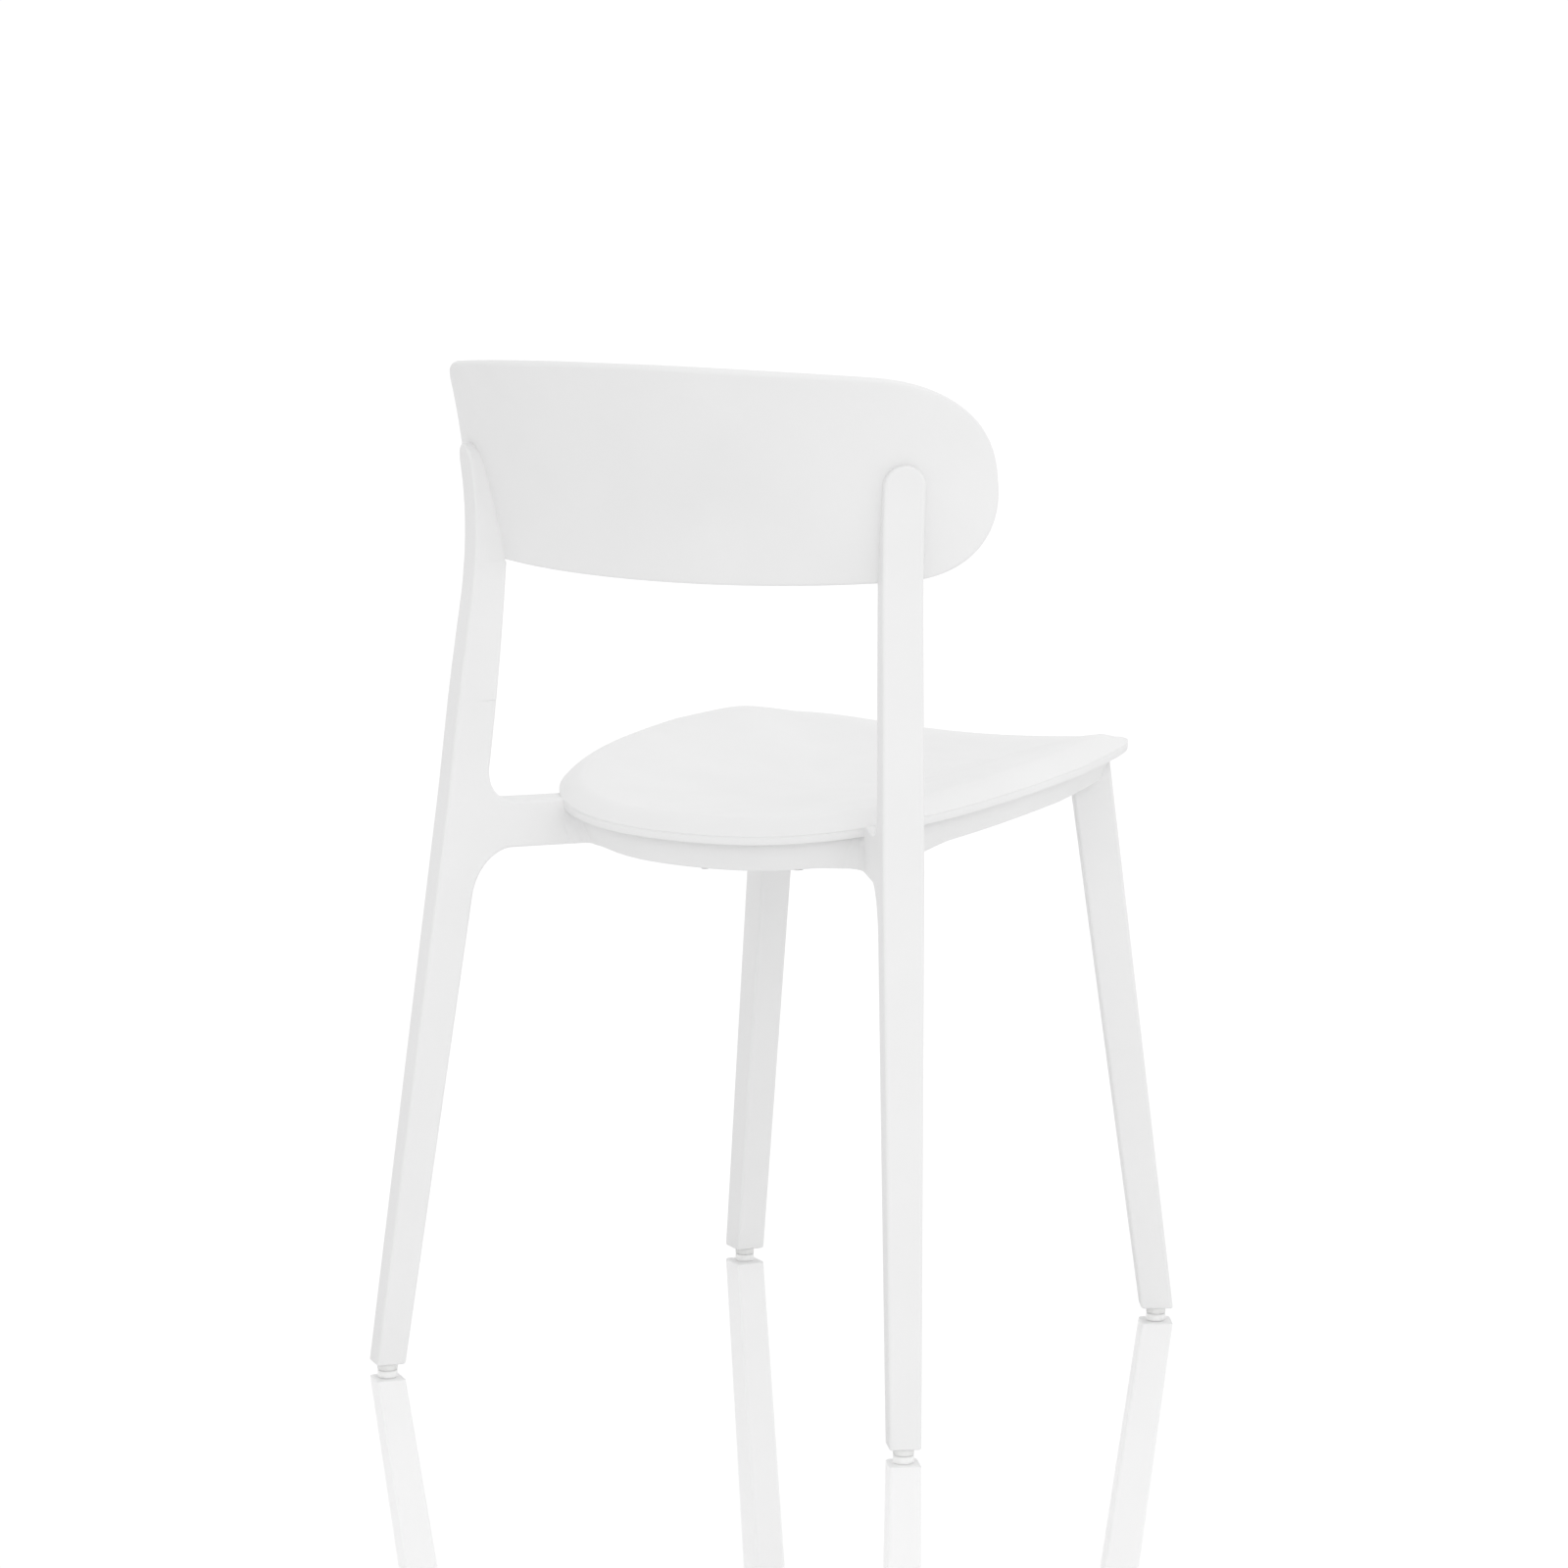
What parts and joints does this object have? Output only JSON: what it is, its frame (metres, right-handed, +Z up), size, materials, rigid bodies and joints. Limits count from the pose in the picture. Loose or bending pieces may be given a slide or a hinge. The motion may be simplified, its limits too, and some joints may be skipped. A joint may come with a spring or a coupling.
{
  "type": "stacking chair",
  "caption": "Armless stacking side chair with a dished D-shaped seat, tapered square legs and a wide curved back panel on two uprights.",
  "frame": {"origin": "on the floor, under the middle of the chair's bounding box", "axes": "+Z up; the sitter faces -Y; +X is the sitter's left"},
  "size_m": [0.494, 0.5458, 0.7887],
  "materials": {
    "seat_plastic": "satin white, fine moulded grain",
    "frame_plastic": "satin white, fine moulded grain",
    "back_plastic": "satin white, fine moulded grain",
    "glide_plastic": "smooth off-white",
    "pad_rubber": "soft matte grey",
    "screw_steel": "zinc plated"
  },
  "bodies": {
    "root": {"seat_shell": "seat_plastic", "seat_ring": "frame_plastic", "backrest": "back_plastic", "rear_leg_left": "frame_plastic", "front_leg_left": "frame_plastic", "glide_rear_left": "glide_plastic", "glide_front_left": "glide_plastic", "arm_screw_left_1": "screw_steel", "front_leg_screw_left_1": "screw_steel", "back_screw_left_1": "screw_steel", "arm_screw_left_2": "screw_steel", "front_leg_screw_left_2": "screw_steel", "back_screw_left_2": "screw_steel", "rear_leg_right": "frame_plastic", "front_leg_right": "frame_plastic", "glide_rear_right": "glide_plastic", "glide_front_right": "glide_plastic", "arm_screw_right_1": "screw_steel", "front_leg_screw_right_1": "screw_steel", "back_screw_right_1": "screw_steel", "arm_screw_right_2": "screw_steel", "front_leg_screw_right_2": "screw_steel", "back_screw_right_2": "screw_steel", "seat_screw_1": "screw_steel", "seat_screw_2": "screw_steel", "seat_screw_3": "screw_steel", "seat_screw_4": "screw_steel", "seat_screw_5": "screw_steel", "seat_screw_6": "screw_steel", "stacking_pad_1": "pad_rubber", "stacking_pad_2": "pad_rubber", "stacking_pad_3": "pad_rubber", "stacking_pad_4": "pad_rubber"}
  },
  "joints": []
}
